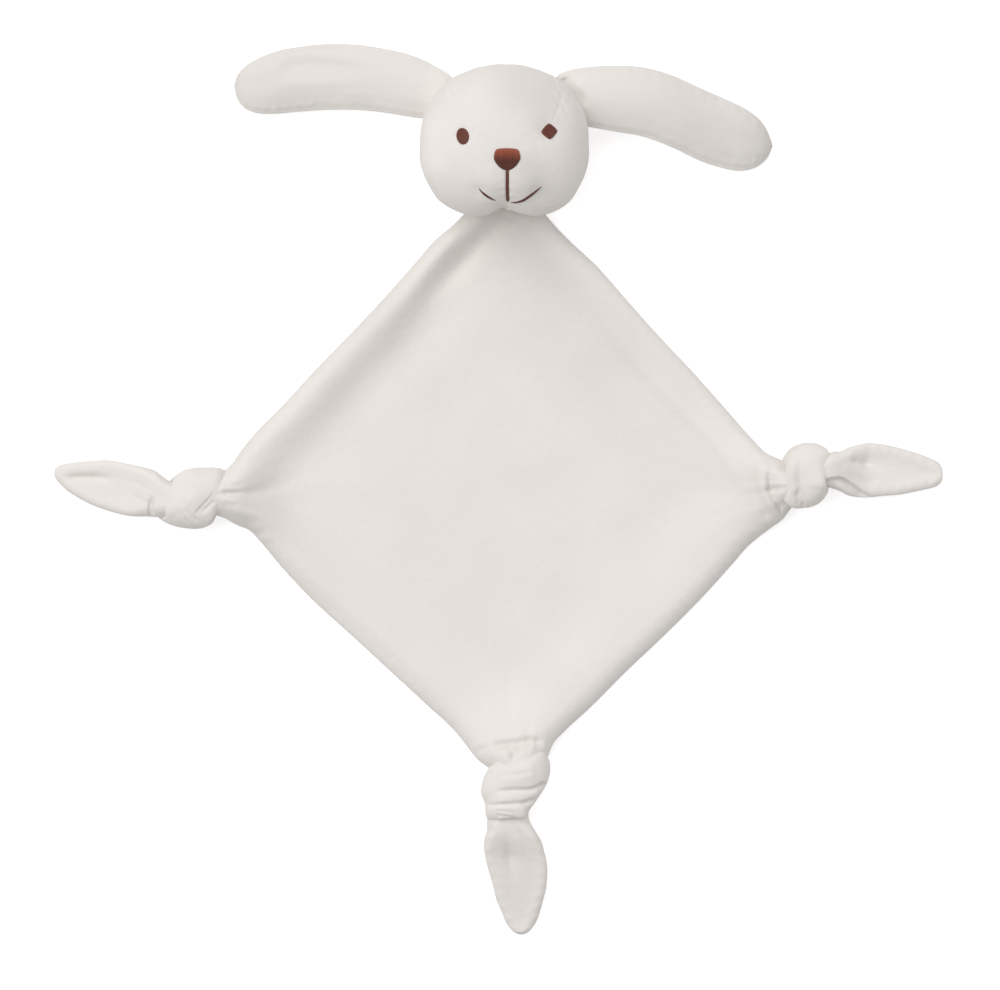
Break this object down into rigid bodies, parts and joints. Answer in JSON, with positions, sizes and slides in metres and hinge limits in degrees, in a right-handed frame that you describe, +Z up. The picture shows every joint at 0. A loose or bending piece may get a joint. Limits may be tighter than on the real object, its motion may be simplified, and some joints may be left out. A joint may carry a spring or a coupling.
{
  "type": "comfort blanket lovey",
  "caption": "Two-layer square comfort blanket with a stuffed rabbit head at one corner, long flopped ears and an overhand knot in each other corner.",
  "frame": {"origin": "centre of the blanket's underside, on the table it lies on", "axes": "+Z up from the table through the cloth, towards the face; +Y from the blanket's middle to the head; +X to the right seen from above"},
  "size_m": [0.3544, 0.3571, 0.0526],
  "materials": {
    "cream_velour": "short-pile velour, matt",
    "white_fibre": "loose fibre filling, matt",
    "brown_thread": "satin-stitched thread"
  },
  "bodies": {
    "blanket": {"blanket_back": "cream_velour", "blanket_front": "cream_velour"},
    "head": {"head_gusset": "cream_velour", "head_left_cheek": "cream_velour", "head_right_cheek": "cream_velour", "head_filling": "white_fibre", "neck_gather": "cream_velour", "left_eye": "brown_thread", "right_eye": "brown_thread", "nose": "brown_thread", "lip_line": "brown_thread", "mouth_left": "brown_thread", "mouth_right": "brown_thread"},
    "left_ear": {"left_ear_front": "cream_velour", "left_ear_back": "cream_velour", "left_ear_filling": "white_fibre"},
    "right_ear": {"right_ear_front": "cream_velour", "right_ear_back": "cream_velour", "right_ear_filling": "white_fibre"},
    "left_knot": {"left_knot": "cream_velour"},
    "right_knot": {"right_knot": "cream_velour"},
    "foot_knot": {"foot_knot": "cream_velour"},
    "left_tail": {"left_tail_front": "cream_velour", "left_tail_back": "cream_velour"},
    "right_tail": {"right_tail_front": "cream_velour", "right_tail_back": "cream_velour"},
    "foot_tail": {"foot_tail_front": "cream_velour", "foot_tail_back": "cream_velour"}
  },
  "joints": [
    {"name": "neck_nod", "type": "hinge", "parent": "blanket", "child": "head", "pos_m": [-0.0008, 0.10706, 0.01258], "axis": [1, 0, 0], "range_deg": [-100, 90]},
    {"name": "left_ear_lift", "type": "hinge", "parent": "head", "child": "left_ear", "pos_m": [-0.02828, 0.15502, 0.02], "axis": [0.5682, 0.8229, 0], "range_deg": [-35, 50]},
    {"name": "right_ear_lift", "type": "hinge", "parent": "head", "child": "right_ear", "pos_m": [0.02739, 0.15379, 0.02], "axis": [0.4943, -0.8693, 0], "range_deg": [-35, 50]},
    {"name": "left_knot_bend", "type": "hinge", "parent": "blanket", "child": "left_knot", "pos_m": [-0.10545, -0.005, 0.01302], "axis": [0, 1, 0], "range_deg": [-80, 95]},
    {"name": "right_knot_bend", "type": "hinge", "parent": "blanket", "child": "right_knot", "pos_m": [0.10585, 0.003, 0.01302], "axis": [0, -1, 0], "range_deg": [-80, 95]},
    {"name": "foot_knot_bend", "type": "hinge", "parent": "blanket", "child": "foot_knot", "pos_m": [0.0048, -0.10365, 0.01302], "axis": [-1, 0, 0], "range_deg": [-80, 95]},
    {"name": "left_tail_bend", "type": "hinge", "parent": "left_knot", "child": "left_tail", "pos_m": [-0.13735, -0.005, 0.01302], "axis": [0, 1, 0], "range_deg": [-60, 70]},
    {"name": "right_tail_bend", "type": "hinge", "parent": "right_knot", "child": "right_tail", "pos_m": [0.13775, 0.003, 0.01302], "axis": [0, -1, 0], "range_deg": [-60, 70]},
    {"name": "foot_tail_bend", "type": "hinge", "parent": "foot_knot", "child": "foot_tail", "pos_m": [0.0048, -0.13555, 0.01302], "axis": [-1, 0, 0], "range_deg": [-60, 70]}
  ]
}
